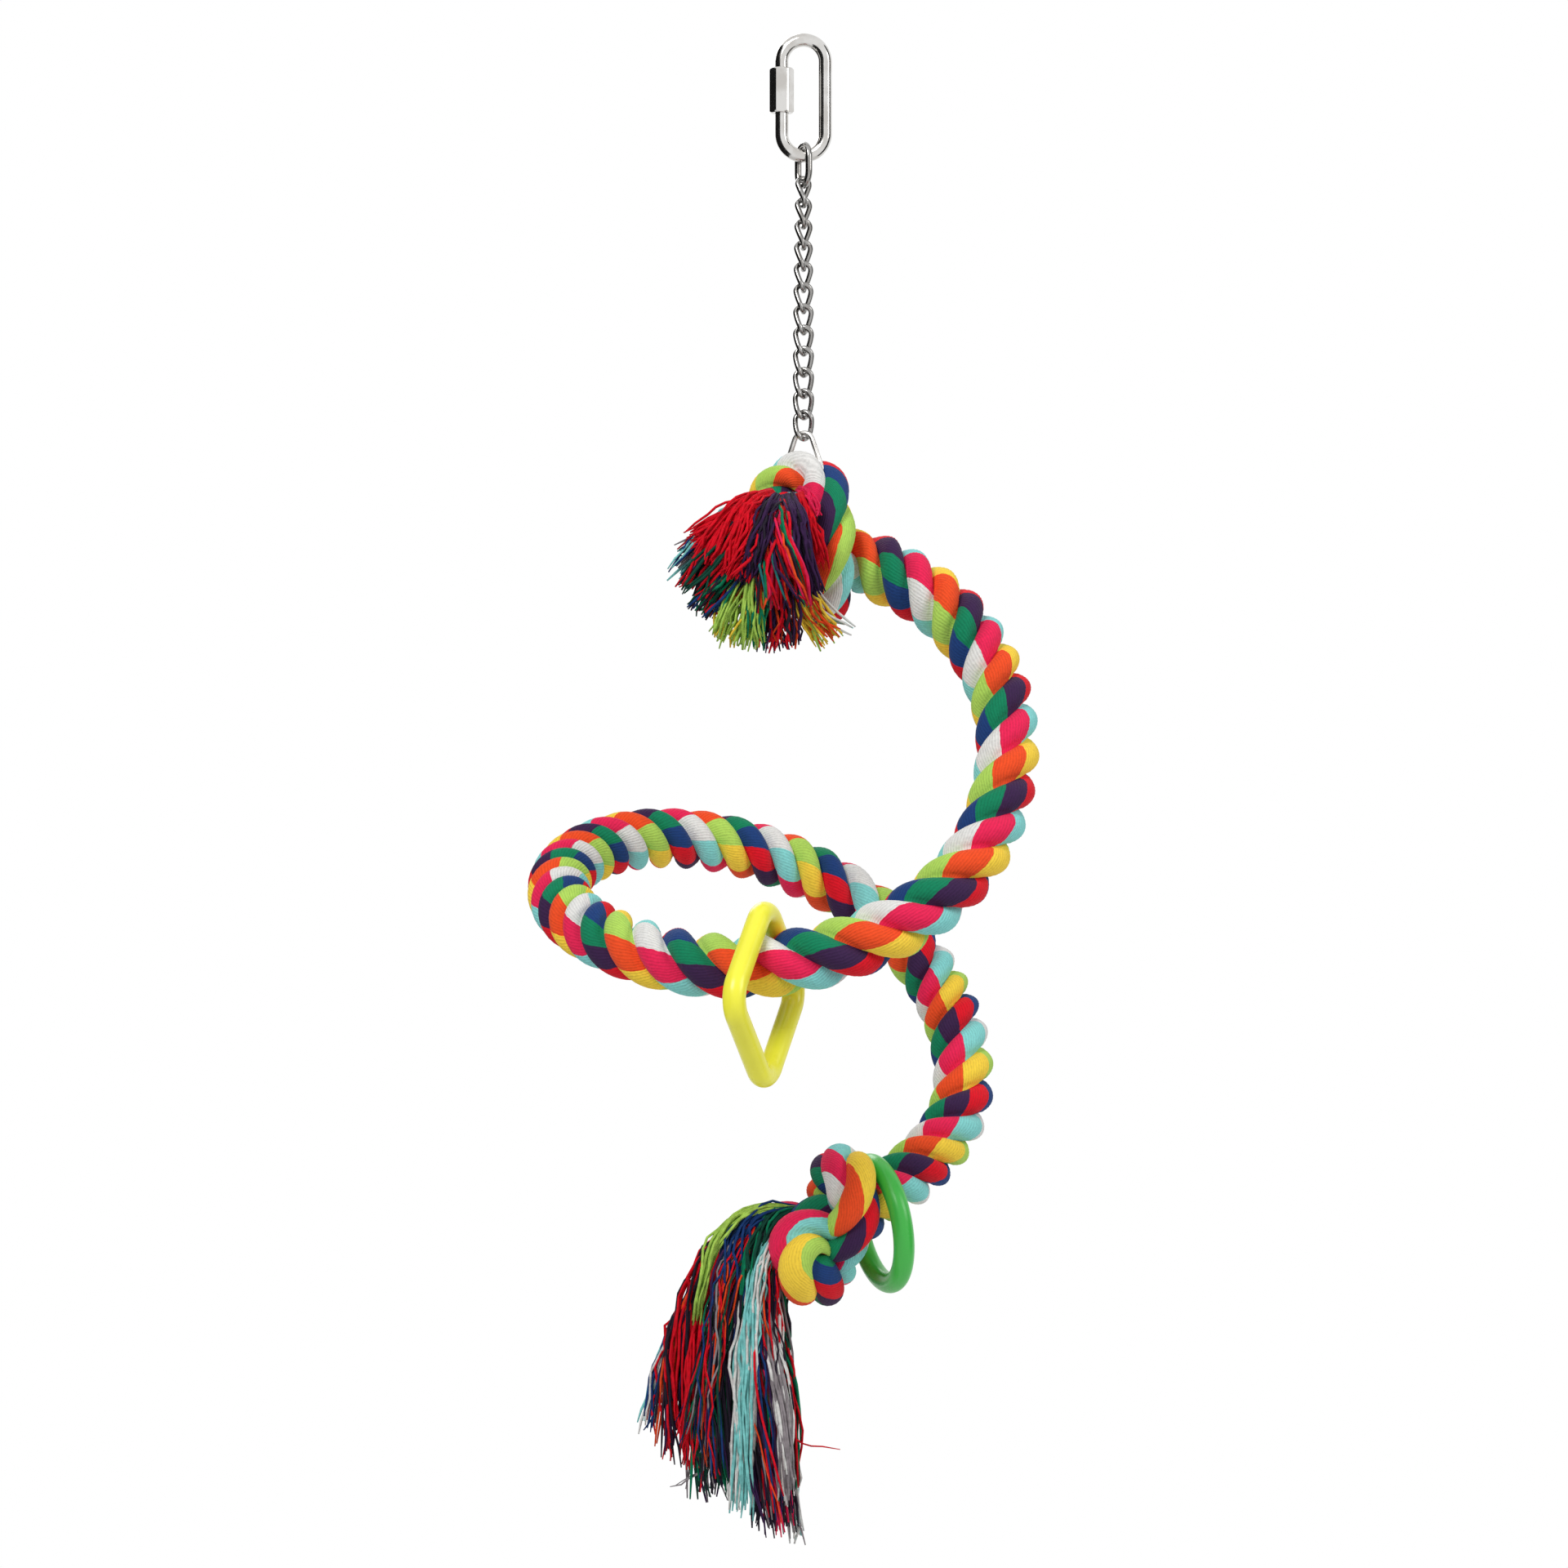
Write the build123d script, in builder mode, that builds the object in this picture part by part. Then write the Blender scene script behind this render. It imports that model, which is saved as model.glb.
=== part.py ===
"""Hanging bird perch: a coil of cotton rope on a chain, with knots, tassels and toy rings.

Millimetres, +Z up, +X to the right and +Y away from the viewer. The origin is the point
inside the quick link's upper bow where a cage bar carries the perch.
"""

import math
import os

from build123d import *

os.makedirs("parts", exist_ok=True)

# Clearances
metal_gap = 0.3
sleeve_gap = 0.15
ring_gap = 0.35
core_gap = 0.2
channel_gap = 0.1

# Quick link and its sleeve
quick_wire = 5.0
quick_length = 49.0
quick_width = 21.5
quick_mouth = 6.5
quick_mouth_drop = 4.0
sleeve_length = 17.0
sleeve_flats = 8.2
sleeve_lap = 1.5
sleeve_chamfer = 0.6
sleeve_edge_round = 0.12

# Connecting link
connector_wire = 2.6
connector_length = 17.9
connector_width = 13.4
connector_turn = 112

# Curb chain of twisted links, each turned a little from the one above
chain_count = 12
chain_wire = 2.0
chain_width = 8.2
chain_inner_length = 8.35
chain_twist = 90
chain_turn_step = 5
last_link_turn = 13

# Hanger ring, a rounded triangle of wire
hanger_wire = 2.0
hanger_height = 20.0
hanger_base = 20.6
hanger_apex_width = 7.6
hanger_apex_radius = 3.6
hanger_corner_radius = 3.2
hanger_turn = -25

# Rope, its wire core and its coil, a helix whose axis leans back and to one side
rope_diameter = 22.5
core_diameter = 4.0
coil_radius = 82.3
coil_rise = 160.4
coil_tilt = 36.9
coil_roll = -6.8
coil_start = -55
coil_end = 365
coil_piece_turn = 70
coil_left = 3.6
coil_front = 43.0
coil_drop = 116.4

# Knots, where the rope is drawn tight, and the necks that lead into them
knot_rope = 13.6
neck_length = 8.0
top_knot_right = 0.3
top_knot_front = 6.0
top_knot_drop = 37.7
bottom_knot_left = 52.3
bottom_knot_front = 40.9
bottom_knot_drop = 40.1
route_share = 0.47

# How finely a tube is sampled for its gap, and the stretch of it left out as its own bend
sample_step = 1.5
own_bend = 2.2

# Toy rings
square_tube = 8.3
square_side = 46.6
square_corner = 9.0
square_place = 90.8
square_turn = 21
round_tube = 8.0
round_outer = 54.0
round_turn = 69
round_lean = 8
round_place = 3.0

# Levels down the chain, each worked out from the one above
quick_bow = (quick_width - quick_wire) / 2
quick_top_bow_z = quick_wire / 2 - quick_bow
quick_bottom_bow_z = quick_wire - quick_length + quick_width / 2
mouth_top = quick_top_bow_z - quick_mouth_drop
mouth_bottom = mouth_top - quick_mouth
connector_bow = (connector_width - connector_wire) / 2
connector_top = 2 * quick_wire - quick_length + metal_gap + connector_wire
connector_z = connector_top - connector_length / 2
connector_inner_bottom = connector_top - connector_length + connector_wire
chain_bow = (chain_width - chain_wire) / 2
chain_reach = (chain_inner_length + chain_wire) / 2
chain_pitch = chain_inner_length - metal_gap
first_link_z = connector_inner_bottom + metal_gap - chain_inner_length / 2
last_link_z = first_link_z - (chain_count - 1) * chain_pitch
perch_top = last_link_z - chain_inner_length / 2 + metal_gap

# Places of the coil and the top knot, down from the inside of the hanger ring's apex
coil_centre = Vector(-coil_left, -coil_front, perch_top - coil_drop)
top_knot_at = Vector(top_knot_right, -top_knot_front, perch_top - top_knot_drop)

# Knot shapes are drawn for 13.6 mm of tight rope and tassels for 22.5 mm of loose rope
knot_unit = knot_rope / 13.6
tassel_unit = rope_diameter / 22.5

# Where the rope enters each knot, from the knot's own place, and which way the rope runs
top_mouth_offset = Vector(24, 8.5, -11) * knot_unit
top_mouth_way = Vector(1, 0, -0.15).normalized()
bottom_mouth_offset = Vector(16, 3.5, 6) * knot_unit
bottom_mouth_way = Vector(-0.9, -0.42, -0.1).normalized()

# Hand-chosen route of each overhand knot from its neck to its frayed end
top_knot_route = [
    (6, 8.5, -9.5),
    (-4, 9, -9),
    (-15.5, 7, -3),
    (-19, 6, 11),
    (-7, 7, 22.5),
    (9, 5, 20.5),
    (13, -6, 7),
    (10, -11, -9),
    (9, 0, -25),
    (6, 18, -26),
    (6, 27, -11),
    (4, 20, 4),
    (-2, 2, 7),
    (-9, -16, 8),
]
bottom_knot_route = [
    (1, -3.5, 4.4),
    (-7, -8, 3),
    (-14, -12, -8),
    (-10, -9, -24),
    (0, 5, -28),
    (1, 18, -14),
    (-1, 20, 3),
    (-1, 15, 18),
    (2, 1, 22.5),
    (9, -13, 19),
    (8.5, -18.5, 3),
    (4, -11, -11.5),
    (-4, 3, -11),
    (-12, 7, 0),
    (-25, 8, 8),
]

# Outline of each tassel beyond its root: place, direction, half width and half depth
top_tassel_sections = [
    ((-13, -26, 5), (-0.35, -0.75, -0.55), 14, 11),
    ((-16.5, -32, -6), (-0.12, -0.3, -0.95), 22, 17),
    ((-18, -34, -21), (0, 0, -1), 29, 21),
    ((-18, -34, -40), (0, 0, -1), 31, 22),
]
bottom_tassel_sections = [
    ((-33, 10, 6), (-0.8, 0, -0.6), 12, 11),
    ((-38, 13, -8), (-0.3, 0, -0.95), 16, 12),
    ((-38, 14, -35), (0, 0, -1), 22, 13),
    ((-37, 14, -75), (0, 0, -1), 29, 14),
    ((-35, 14, -113), (0, 0, -1), 31, 14.5),
]


def biarc(start, start_way, end, end_way):
    """Draw two tangent arcs from start to end that leave and arrive along the given ways."""
    chord = end - start
    square = 2 * (1 - start_way.dot(end_way))
    linear = 2 * chord.dot(start_way + end_way)
    reach = (math.sqrt(linear**2 + 4 * square * chord.dot(chord)) - linear) / (2 * square)
    first_corner = start + start_way * reach
    second_corner = end - end_way * reach
    joint = (first_corner + second_corner) / 2
    TangentArc(start, joint, tangent=start_way)
    TangentArc(joint, end, tangent=second_corner - first_corner)


def follow(stations):
    """Draw biarcs through a list of (point, direction) stations."""
    for (start, start_way), (end, end_way) in zip(stations, stations[1:]):
        biarc(start, start_way, end, end_way)


def corner_radii(points):
    """The largest tangent arc at each corner of a cord's route."""
    radii = []
    for before, corner, after in zip(points, points[1:], points[2:]):
        back = before - corner
        ahead = after - corner
        turn = math.radians(180 - back.get_angle(ahead))
        radii.append(route_share * min(back.length, ahead.length) / math.tan(turn / 2))
    return radii


def print_tube(name, line, diameter, volume, area):
    """Print a tube's length, its least gap to itself and its volume beside section times length."""
    count = int(line.length / sample_step)
    points = [line @ (index / count) for index in range(count + 1)]
    skip = int(own_bend * diameter / line.length * count)
    nearest = min(
        (point - other).length
        for index, point in enumerate(points)
        for other in points[index + skip :]
    )
    share = volume / (area * line.length)
    print(f"{name}: {line.length:.0f} mm long, least gap {nearest - diameter:.2f} mm, volume {share:.3f}")


def finish(piece, name):
    """Label a finished piece and write its file."""
    piece.label = name
    export_step(piece, f"parts/{name}.step")


def wire_ring(half, place):
    """Close a half ring, drawn about the Z axis, with its own half turn and put it in place."""
    with BuildPart(place) as ring:
        with PolarLocations(0, 2):
            add(half)
    return ring.part


# Quick link: one bent wire whose left leg is open for the mouth
with BuildPart() as quick_link:
    with BuildLine(Plane.XZ) as quick_line:
        Line((-quick_bow, mouth_top), (-quick_bow, quick_top_bow_z))
        JernArc((-quick_bow, quick_top_bow_z), (0, 1), quick_bow, -180)
        Line((quick_bow, quick_top_bow_z), (quick_bow, quick_bottom_bow_z))
        JernArc((quick_bow, quick_bottom_bow_z), (0, -1), quick_bow, -180)
        Line((-quick_bow, quick_bottom_bow_z), (-quick_bow, mouth_bottom))
    with BuildSketch(quick_line.line ^ 0):
        Circle(quick_wire / 2)
    sweep(path=quick_line.line)
finish(quick_link.part, "quick_link")

# Hexagonal sleeve that closes the mouth, with turned ends
sleeve_middle = Plane((-quick_bow, 0, mouth_top + sleeve_lap - sleeve_length / 2))
sleeve_corner = sleeve_flats / 2 / math.cos(math.radians(30))
with BuildPart(sleeve_middle) as quick_link_sleeve:
    Cylinder(sleeve_corner - sleeve_edge_round, sleeve_length)
    chamfer(quick_link_sleeve.edges().filter_by(GeomType.CIRCLE), sleeve_chamfer)
    with BuildSketch(sleeve_middle):
        RegularPolygon(sleeve_flats / 2, 6, major_radius=False)
    extrude(amount=sleeve_length / 2, both=True, mode=Mode.INTERSECT)
    Cylinder(quick_wire / 2 + sleeve_gap, sleeve_length, mode=Mode.SUBTRACT)
finish(quick_link_sleeve.part, "quick_link_sleeve")

# Connecting link: an oval of wire round the quick link's lower bow
connector_straight = (connector_length - connector_width) / 2
with BuildPart() as connector_half:
    with BuildLine(Plane.XZ) as connector_line:
        JernArc((0, connector_straight + connector_bow), (1, 0), connector_bow, -90)
        Line((connector_bow, connector_straight), (connector_bow, -connector_straight))
        JernArc((connector_bow, -connector_straight), (0, -1), connector_bow, -90)
    with BuildSketch(connector_line.line ^ 0):
        Circle(connector_wire / 2)
    sweep(path=connector_line.line)
connector_place = Plane((0, 0, connector_z)).rotated((0, 0, connector_turn))
finish(wire_ring(connector_half.part, connector_place), "connecting_link")


def link_station(across, up, across_way, up_way):
    """A point and direction on the twisted link, from its place on the flat oval."""
    rate = -math.radians(chain_twist) / (2 * chain_reach)
    angle = rate * up
    out = Vector(math.cos(angle), math.sin(angle), 0)
    side = Vector(-math.sin(angle), math.cos(angle), 0)
    point = out * across + Vector(0, 0, up)
    way = out * across_way + side * (across * rate * up_way) + Vector(0, 0, up_way)
    return point, way.normalized()


# Curb chain: every link is the same twisted oval of wire
chain_straight = chain_reach - chain_bow
with BuildPart() as chain_half:
    with BuildLine() as chain_line:
        follow(
            [
                link_station(0, chain_reach, 1, 0),
                link_station(chain_bow, chain_straight, 0, -1),
                link_station(chain_bow, -chain_straight, 0, -1),
                link_station(0, -chain_reach, -1, 0),
            ]
        )
    with BuildSketch(chain_line.line ^ 0):
        Circle(chain_wire / 2)
    sweep(path=chain_line.line)
for number in range(1, chain_count + 1):
    link_z = first_link_z - (number - 1) * chain_pitch
    link_turn = last_link_turn + (chain_count - number) * chain_turn_step
    link_place = Plane((0, 0, link_z)).rotated((0, 0, link_turn))
    finish(wire_ring(chain_half.part, link_place), f"chain_link_{number:02d}")

# Hanger ring: its apex rides in the last link and its base runs through the rope
hanger_top = hanger_wire / 2
hanger_bottom = hanger_top + hanger_wire - hanger_height
hanger_place = Plane((0, 0, perch_top)).rotated((0, 0, hanger_turn))


def hanger_half(wire):
    """Right half of the hanger ring in wire of the given thickness."""
    with BuildPart() as half:
        with BuildLine(Plane.XZ) as line:
            FilletPolyline(
                (0, hanger_top),
                ((hanger_apex_width - hanger_wire) / 2, hanger_top),
                ((hanger_base - hanger_wire) / 2, hanger_bottom),
                (0, hanger_bottom),
                radius=[hanger_apex_radius, hanger_corner_radius],
            )
        with BuildSketch(line.line ^ 0):
            Circle(wire / 2)
        sweep(path=line.line)
    return half.part


finish(wire_ring(hanger_half(hanger_wire), hanger_place), "hanger_ring")
hanger_channel = wire_ring(hanger_half(hanger_wire + 2 * channel_gap), hanger_place)

# Frame of the coil: local X is its right, local Y its far side and local Z its axis
tilt = math.radians(coil_tilt)
roll = math.radians(coil_roll)
coil_frame = Plane(
    coil_centre,
    x_dir=(math.cos(roll), 0, math.sin(roll)),
    z_dir=(-math.cos(tilt) * math.sin(roll), -math.sin(tilt), math.cos(tilt) * math.cos(roll)),
)


def coil_station(degrees):
    """A point and direction on the coil, which falls as it turns from right to front to left."""
    turn = math.radians(degrees)
    rise = -coil_rise / (2 * math.pi)
    local_point = (coil_radius * math.cos(turn), -coil_radius * math.sin(turn), rise * turn)
    local_way = (-coil_radius * math.sin(turn), -coil_radius * math.cos(turn), rise)
    point = coil_frame.from_local_coords(local_point)
    way = coil_frame.from_local_coords(local_way) - coil_frame.origin
    return point, way.normalized()


# Both knots' mouths; the bottom knot hangs from the lower end of the coil
top_mouth = top_knot_at + top_mouth_offset
bottom_knot_from_coil = Vector(-bottom_knot_left, -bottom_knot_front, -bottom_knot_drop)
bottom_knot_at = coil_station(coil_end)[0] + bottom_knot_from_coil
bottom_mouth = bottom_knot_at + bottom_mouth_offset

# Rope coil: one unbroken tube from knot to knot, bored for its wire core
coil_pieces = round((coil_end - coil_start) / coil_piece_turn)
coil_step = (coil_end - coil_start) / coil_pieces
rope_stations = [(top_mouth, top_mouth_way)]
rope_stations += [coil_station(coil_start + piece * coil_step) for piece in range(coil_pieces + 1)]
rope_stations += [(bottom_mouth, bottom_mouth_way)]
core_bore = core_diameter / 2 + core_gap
with BuildPart() as rope_spiral:
    with BuildLine() as rope_line:
        follow(rope_stations)
    with BuildSketch(rope_line.line ^ 0) as rope_section:
        Circle(rope_diameter / 2)
        Circle(core_bore, mode=Mode.SUBTRACT)
    sweep(path=rope_line.line)
finish(rope_spiral.part, "rope_spiral")
rope_area = math.pi * (rope_diameter**2 / 4 - core_bore**2)
print_tube("rope_spiral", rope_line.wire(), rope_diameter, rope_spiral.part.volume, rope_area)

# Bendable wire that keeps the coil's shape
with BuildPart() as wire_core:
    with BuildLine() as core_line:
        follow(rope_stations)
    with BuildSketch(core_line.line ^ 0):
        Circle(core_diameter / 2)
    sweep(path=core_line.line)
finish(wire_core.part, "wire_core")


def knot(name, place, mouth, way_in, route):
    """An overhand knot: a neck that draws the rope tight and one tube along the hand-chosen route."""
    neck_end = mouth + way_in * neck_length
    points = [neck_end] + [place + Vector(*point) * knot_unit for point in route]
    radii = corner_radii(points)
    with BuildPart() as tied:
        with BuildLine() as line:
            FilletPolyline(*points, radius=radii)
        with BuildSketch(line.line ^ 0):
            Circle(knot_rope / 2)
        sweep(path=line.line)
        print_tube(name, line.wire(), knot_rope, tied.part.volume, math.pi * knot_rope**2 / 4)
        print("  radii", ", ".join(f"{radius:.1f}" for radius in radii))
        with BuildSketch(Plane(mouth, z_dir=way_in)):
            Circle(rope_diameter / 2)
        with BuildSketch(Plane(neck_end, z_dir=way_in)):
            Circle(knot_rope / 2)
        loft()
    return tied.part, points


# Top knot, with the hanger ring's channel through its arch
tied_top, top_points = knot("top_knot", top_knot_at, top_mouth, -top_mouth_way, top_knot_route)
with BuildPart() as top_knot:
    add(tied_top)
    add(hanger_channel, mode=Mode.SUBTRACT)
finish(top_knot.part, "top_knot")

# Bottom knot
tied_bottom, bottom_points = knot(
    "bottom_knot", bottom_knot_at, bottom_mouth, bottom_mouth_way, bottom_knot_route
)
finish(tied_bottom, "bottom_knot")


def tassel(place, points, sections):
    """A frayed rope end: a smooth body that spreads from the knot's loose end."""
    root_way = (points[-1] - points[-2]).normalized()
    with BuildPart() as body:
        with BuildSketch(Plane(points[-1], x_dir=root_way.cross(Vector(0, 1, 0)), z_dir=root_way)):
            Circle(knot_rope / 2)
        for offset, way, half_width, half_depth in sections:
            across = Vector(0, 1, 0).cross(Vector(*way))
            middle = place + Vector(*offset) * tassel_unit
            with BuildSketch(Plane(middle, x_dir=across, z_dir=way)):
                Ellipse(half_width * tassel_unit, half_depth * tassel_unit)
        loft()
    return body.part


finish(tassel(top_knot_at, top_points, top_tassel_sections), "top_tassel")
finish(tassel(bottom_knot_at, bottom_points, bottom_tassel_sections), "bottom_tassel")


def hang_height(rope_way, limb_ways, tube):
    """Height of a ring's limbs above the rope's middle at which they just clear the rope."""
    reach = rope_diameter / 2 + tube / 2 + ring_gap
    heights = []
    for way in limb_ways:
        normal = rope_way.cross(way)
        heights.append(reach * normal.length / abs(normal.Z))
    return max(heights)


# Rounded-square toy ring, hung by a corner on the front of the coil
square_point, square_rope_way = coil_station(square_place)
square_out = Vector(-math.sin(math.radians(square_turn)), -math.cos(math.radians(square_turn)), 0)
down = Vector(0, 0, -1)
square_limbs = [(down + square_out).normalized(), (down - square_out).normalized()]
square_lift = hang_height(square_rope_way, square_limbs, square_tube)
square_centre = square_point + down * (square_side / math.sqrt(2) - square_lift)
square_plane = Plane(square_centre, x_dir=square_limbs[0], z_dir=square_out.cross(down))
with BuildPart() as square_corner_piece:
    with BuildLine() as square_line:
        half_side = square_side / 2
        FilletPolyline(
            (half_side, 0), (half_side, half_side), (0, half_side), radius=square_corner
        )
    with BuildSketch(square_line.line ^ 0):
        Circle(square_tube / 2)
    sweep(path=square_line.line)
with BuildPart(square_plane) as yellow_ring:
    with PolarLocations(0, 4):
        add(square_corner_piece.part)
finish(yellow_ring.part, "yellow_ring")
print(f"yellow_ring hangs at {square_point}, rope runs along {square_rope_way}")

# Round toy ring on the last of the rope before the bottom knot
round_radius = (round_outer - round_tube) / 2
rope_wire = rope_line.wire()
round_along = rope_wire.length - round_place
round_point = rope_wire.position_at(round_along, position_mode=PositionMode.LENGTH)
round_rope_way = rope_wire.tangent_at(round_along, position_mode=PositionMode.LENGTH)
turn = math.radians(round_turn)
lean = math.radians(round_lean)
round_out = Vector(math.cos(turn), -math.sin(turn), 0)
round_side = Vector(math.sin(turn), math.cos(turn), 0)
round_down = down * math.cos(lean) + round_side * math.sin(lean)
round_lift = hang_height(round_rope_way, [round_out], round_tube)
round_centre = round_point + round_down * (round_radius - round_lift)
round_plane = Plane(round_centre, x_dir=round_out, z_dir=round_out.cross(round_down))
with BuildPart(round_plane) as green_ring:
    Torus(round_radius, round_tube / 2)
finish(green_ring.part, "green_ring")
print(f"green_ring hangs at {round_point}, rope runs along {round_rope_way}")
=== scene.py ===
"""Looks of a hanging bird perch: a coil of coloured rope on a chain, with knots, tassels and toy rings."""

import math
import random

import bpy
import numpy as np
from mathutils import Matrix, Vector


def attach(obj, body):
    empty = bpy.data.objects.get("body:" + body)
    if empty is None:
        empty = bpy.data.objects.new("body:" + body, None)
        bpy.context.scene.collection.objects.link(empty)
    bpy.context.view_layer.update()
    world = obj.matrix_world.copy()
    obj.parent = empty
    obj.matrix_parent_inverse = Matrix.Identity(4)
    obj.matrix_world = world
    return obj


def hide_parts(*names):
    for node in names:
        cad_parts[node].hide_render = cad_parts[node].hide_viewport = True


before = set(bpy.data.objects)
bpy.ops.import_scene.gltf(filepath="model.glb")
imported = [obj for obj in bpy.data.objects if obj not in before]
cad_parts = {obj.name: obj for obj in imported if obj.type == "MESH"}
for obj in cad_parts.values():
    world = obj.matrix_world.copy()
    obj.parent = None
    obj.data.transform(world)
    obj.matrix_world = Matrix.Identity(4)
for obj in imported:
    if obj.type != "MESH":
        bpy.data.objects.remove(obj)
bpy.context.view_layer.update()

rng = random.Random(20)
scene = bpy.context.scene
MM = 0.001
FRONT = np.array((0, -1.0, 0))

# The picture, 1920 pixels a side: size of a pixel at the chain, and the camera's place, in millimetres
PICTURE_MIDDLE = 960
PIXEL = 0.31
CAMERA_AWAY = 1500.0
CAMERA_X = -7.4
CAMERA_Z = -279.9
SENSOR = 36

# Colours of the dyed cotton, as red, green and blue from 0 to 255
COTTON = {
    "red": (228, 6, 34),
    "purple": (56, 28, 72),
    "green": (2, 130, 90),
    "blue": (23, 61, 122),
    "pink": (238, 32, 86),
    "white": (232, 231, 228),
    "sky": (138, 219, 216),
    "orange": (245, 80, 31),
    "lime": (180, 220, 96),
    "yellow": (255, 216, 68),
    "black": (36, 28, 44),
    "forest": (12, 74, 58),
    "grey": (150, 142, 146),
    "teal": (40, 130, 130),
}


def linear(name):
    """A cotton colour as linear light, by the usual curve of screen colours."""
    out = []
    for value in COTTON[name]:
        part = value / 255
        out.append(part / 12.92 if part <= 0.04045 else ((part + 0.055) / 1.055) ** 2.4)
    return (*out, 1.0)


def at(px, py, depth=0.0):
    """The point, in metres, that the camera sees at a pixel of the picture, depth mm behind the chain."""
    scale = PIXEL * (CAMERA_AWAY + depth) / CAMERA_AWAY
    x = CAMERA_X + (px - PICTURE_MIDDLE) * scale
    z = CAMERA_Z - (py - PICTURE_MIDDLE) * scale
    return np.array((x, depth, z)) * MM


def mesh_object(name, verts, faces, smooth=True):
    """A new mesh object in the scene."""
    mesh = bpy.data.meshes.new(name)
    mesh.from_pydata([tuple(v) for v in verts], [], faces)
    mesh.update()
    if smooth:
        mesh.polygons.foreach_set("use_smooth", [True] * len(mesh.polygons))
    obj = bpy.data.objects.new(name, mesh)
    scene.collection.objects.link(obj)
    return obj


# Steps that the materials and the world share
def material(name):
    """A new material with its nodes and its main shader."""
    made = bpy.data.materials.new(name)
    made.use_nodes = True
    nodes = made.node_tree.nodes
    return made, nodes, nodes["Principled BSDF"]


def link(source, target):
    """Joins a node's output to another node's input."""
    target.id_data.links.new(source, target)


def noise(nodes, scale, detail=2.0):
    """The value of a noise texture in the frame's own coordinates."""
    place = nodes.new("ShaderNodeTexCoord")
    grain = nodes.new("ShaderNodeTexNoise")
    grain.inputs["Scale"].default_value = scale
    grain.inputs["Detail"].default_value = detail
    link(place.outputs["Object"], grain.inputs["Vector"])
    return grain.outputs["Fac"]


def maths(nodes, operation, *values):
    """The result of a maths node, which takes numbers and other nodes' outputs."""
    node = nodes.new("ShaderNodeMath")
    node.operation = operation
    for socket, value in zip(node.inputs, values):
        if isinstance(value, bpy.types.NodeSocket):
            link(value, socket)
        else:
            socket.default_value = value
    return node.outputs[0]


def mapped(nodes, value, low, high, start=0.0, end=1.0):
    """A value carried over from the range start to end into the range low to high."""
    node = nodes.new("ShaderNodeMapRange")
    node.inputs["From Min"].default_value = start
    node.inputs["From Max"].default_value = end
    node.inputs["To Min"].default_value = low
    node.inputs["To Max"].default_value = high
    link(value, node.inputs["Value"])
    return node.outputs[0]


def two_tones(nodes, grain, dark, light, start=0.0, end=1.0):
    """A colour that goes from dark to light as the grain goes from start to end."""
    ramp = nodes.new("ShaderNodeValToRGB")
    first, second = ramp.color_ramp.elements
    first.position = start
    first.color = dark
    second.position = end
    second.color = light
    link(grain, ramp.inputs[0])
    return ramp.outputs[0]


def relief(nodes, height, strength, depth):
    """Surface directions of a fine relief, depth metres deep."""
    bump = nodes.new("ShaderNodeBump")
    bump.inputs["Strength"].default_value = strength
    bump.inputs["Distance"].default_value = depth
    link(height, bump.inputs["Height"])
    return bump.outputs[0]


# Camera at the level of the coil
camera = bpy.data.objects.new("camera", bpy.data.cameras.new("camera"))
scene.collection.objects.link(camera)
camera.location = (CAMERA_X * MM, -CAMERA_AWAY * MM, CAMERA_Z * MM)
camera.rotation_euler = (math.radians(90), 0, 0)
camera.data.sensor_width = SENSOR
camera.data.lens = SENSOR * CAMERA_AWAY / (2 * PICTURE_MIDDLE * PIXEL)
scene.camera = camera
scene.view_settings.view_transform = "Standard"

# Plain soft light from lamps that face the middle of the perch, in metres and watts
LIT_POINT = Vector((0, 0, -0.29))


def area_light(name, place, size, power):
    """A soft square lamp."""
    lamp = bpy.data.objects.new(name, bpy.data.lights.new(name, "AREA"))
    lamp.data.size = size
    lamp.data.energy = power
    lamp.location = place
    lamp.rotation_euler = (LIT_POINT - Vector(place)).to_track_quat("-Z", "Y").to_euler()
    scene.collection.objects.link(lamp)


area_light("key_light", (-0.7, -1.3, 0.9), 0.8, 21)
area_light("side_light", (1.3, -0.5, 0.3), 0.7, 8)
area_light("back_light", (-0.5, 1.4, 0.7), 0.8, 7)

# World: a dim fill for the object, and white where the camera or a polished surface sees it
FILL_STRENGTH = 0.37
WHITE_STRENGTH = 1.0


def backdrop(nodes, strength):
    """A white background of a given strength."""
    node = nodes.new("ShaderNodeBackground")
    node.inputs["Color"].default_value = (1, 1, 1, 1)
    node.inputs["Strength"].default_value = strength
    return node.outputs[0]


world = bpy.data.worlds.new("studio")
scene.world = world
world.use_nodes = True
world_nodes = world.node_tree.nodes
world_nodes.clear()
rays = world_nodes.new("ShaderNodeLightPath").outputs
looked_at = maths(world_nodes, "MAXIMUM", rays["Is Camera Ray"], rays["Is Glossy Ray"])
looked_at = maths(world_nodes, "MAXIMUM", looked_at, rays["Is Transmission Ray"])
choice = world_nodes.new("ShaderNodeMixShader")
link(looked_at, choice.inputs[0])
link(backdrop(world_nodes, FILL_STRENGTH), choice.inputs[1])
link(backdrop(world_nodes, WHITE_STRENGTH), choice.inputs[2])
link(choice.outputs[0], world_nodes.new("ShaderNodeOutputWorld").inputs[0])


def paint(name, dark, light, scale, rough, shine):
    """Plain grey paint, a little uneven in tone."""
    made, nodes, shader = material(name)
    shader.inputs["Roughness"].default_value = rough
    shader.inputs["Specular IOR Level"].default_value = shine
    tones = two_tones(nodes, noise(nodes, scale), (dark, dark, dark, 1), (light, light, light, 1))
    link(tones, shader.inputs["Base Color"])
    return made


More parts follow.
